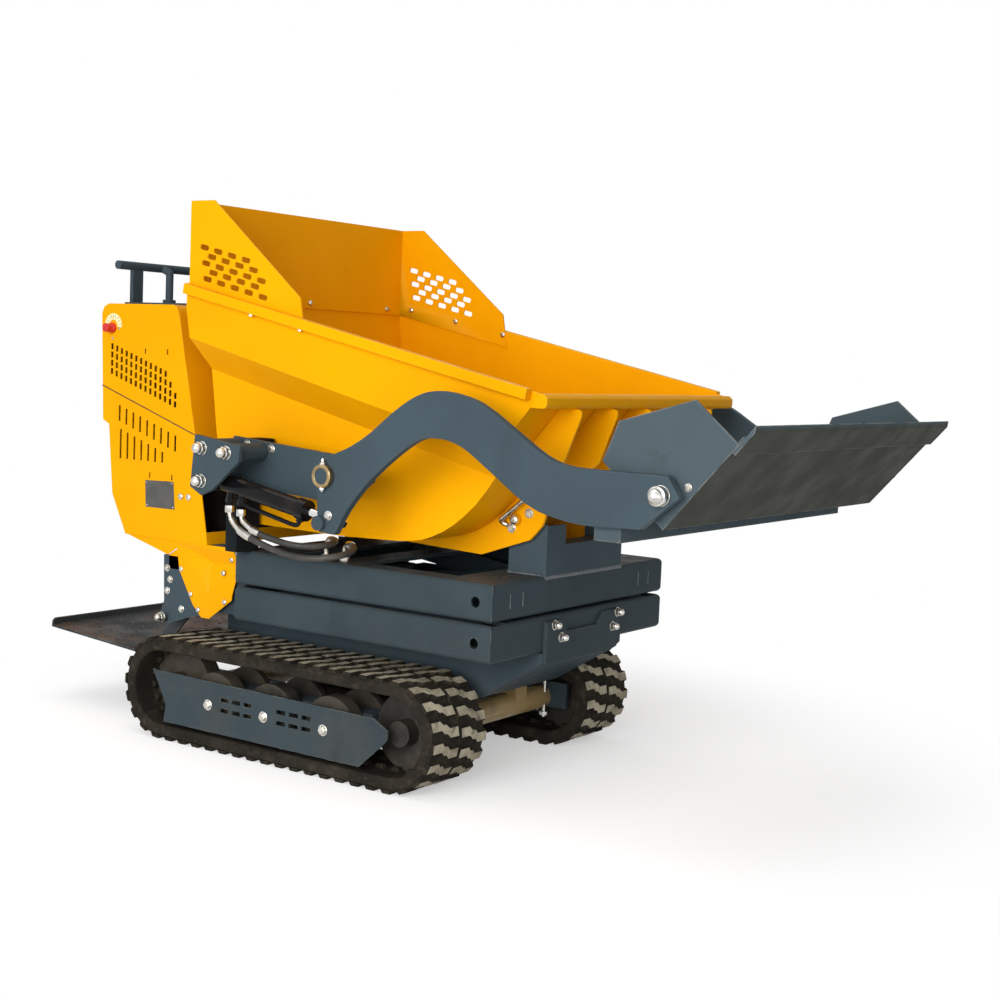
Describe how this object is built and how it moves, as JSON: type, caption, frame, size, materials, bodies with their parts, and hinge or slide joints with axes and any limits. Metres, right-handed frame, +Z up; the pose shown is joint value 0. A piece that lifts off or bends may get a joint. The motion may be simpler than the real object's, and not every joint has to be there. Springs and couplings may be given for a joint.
{
  "type": "tracked site dumper",
  "caption": "Tracked high-tip site dumper: front-tipping skip with splash guard on a scissor lift, self-loading bucket on outside arms, rear power pack and driver's step.",
  "frame": {"origin": "on the floor, under the middle of the machine's length and width", "axes": "+X forward to the bucket, +Y to the machine's left, +Z up"},
  "size_m": [2.183, 1.12, 1.314],
  "materials": {
    "track_rubber": "worn, dusty",
    "slate_paint": "satin",
    "greasy_steel": "greasy",
    "yellow_paint": "semi-gloss",
    "step_plate": "scuffed",
    "engine_black": "matte",
    "red_plastic": "gloss",
    "black_plastic": "matte",
    "zinc_steel": "zinc plated",
    "scuffed_plate": "scuffed",
    "cylinder_black": "gloss",
    "rod_chrome": "polished",
    "hose_rubber": "satin"
  },
  "bodies": {
    "chassis": {"track_right": "track_rubber", "track_left": "track_rubber", "running_gear_right": "greasy_steel", "running_gear_left": "greasy_steel", "track_frame_right": "slate_paint", "track_frame_left": "slate_paint", "track_cover_right": "slate_paint", "track_cover_left": "slate_paint", "belly": "slate_paint", "cross_tube_front": "greasy_steel", "cross_tube_rear": "greasy_steel", "lower_frame": "slate_paint", "front_plate": "slate_paint", "tail_frame": "slate_paint", "rear_brackets": "yellow_paint", "step_brackets": "slate_paint", "housing_right": "yellow_paint", "housing_left": "yellow_paint", "housing_shell": "yellow_paint", "console": "slate_paint", "engine": "engine_black", "handlebar": "slate_paint", "throttle_knob": "red_plastic", "control_levers": "black_plastic"},
    "step": {"step": "step_plate"},
    "scissor_inner": {"scissor_inner": "slate_paint"},
    "scissor_outer": {"scissor_outer": "slate_paint"},
    "upper_frame": {"upper_frame": "slate_paint", "skip_post": "slate_paint", "arm_towers": "slate_paint", "arm_plates": "slate_paint", "cylinder_brackets": "slate_paint", "hose_right_a": "hose_rubber", "hose_right_b": "hose_rubber", "hose_left_a": "hose_rubber", "hose_left_b": "hose_rubber"},
    "skip": {"skip": "yellow_paint", "skip_rim": "yellow_paint", "skip_ribs": "yellow_paint", "skip_hinges": "yellow_paint", "splash_guard": "yellow_paint"},
    "loader_arms": {"loader_arms": "slate_paint", "arm_pins": "zinc_steel", "arm_beam": "slate_paint"},
    "bucket": {"bucket": "slate_paint", "bucket_edge": "scuffed_plate"},
    "loader_barrels": {"loader_barrels": "cylinder_black"},
    "loader_rods": {"loader_rods": "rod_chrome"}
  },
  "joints": [
    {"name": "lift", "type": "hinge", "parent": "chassis", "child": "scissor_inner", "pos_m": [-0.2615, 0, 0.358], "axis": [0, -1, 0], "range_deg": [0, 40]},
    {"name": "scissor_cross", "type": "hinge", "parent": "scissor_inner", "child": "scissor_outer", "pos_m": [0.05734, 0, 0.403], "axis": [0, -1, 0], "range_deg": [-80, 0]},
    {"name": "frame_level", "type": "hinge", "parent": "scissor_outer", "child": "upper_frame", "pos_m": [-0.2615, 0, 0.448], "axis": [0, -1, 0], "range_deg": [0, 40]},
    {"name": "skip_tip", "type": "hinge", "parent": "upper_frame", "child": "skip", "pos_m": [0.3595, 0, 0.613], "axis": [0, 1, 0], "range_deg": [0, 70]},
    {"name": "arm_lift", "type": "hinge", "parent": "upper_frame", "child": "loader_arms", "pos_m": [0.1025, 0, 0.704], "axis": [0, 1, 0], "range_deg": [-95, 53]},
    {"name": "bucket_tilt", "type": "hinge", "parent": "loader_arms", "child": "bucket", "pos_m": [0.9225, 0, 0.73], "axis": [0, 1, 0], "range_deg": [-35, 0]},
    {"name": "cylinder_swing", "type": "hinge", "parent": "upper_frame", "child": "loader_barrels", "pos_m": [-0.2645, 0, 0.665], "axis": [0, 1, 0], "range_deg": [-8, 5]},
    {"name": "rod_slide", "type": "slide", "parent": "loader_barrels", "child": "loader_rods", "axis": [0.9848, 0, -0.1738], "range_m": [-0.068, 0.1215]},
    {"name": "step_fold", "type": "hinge", "parent": "chassis", "child": "step", "pos_m": [-0.5885, 0, 0.29], "axis": [0, 1, 0], "range_deg": [0, 70]}
  ],
  "couplings": [
    {"joint": "scissor_cross", "follows": "lift", "ratio": -2},
    {"joint": "frame_level", "follows": "lift", "ratio": 1},
    {"joint": "cylinder_swing", "follows": "arm_lift", "ratio": 0.08},
    {"joint": "rod_slide", "follows": "arm_lift", "m_per_rad": -0.073}
  ]
}
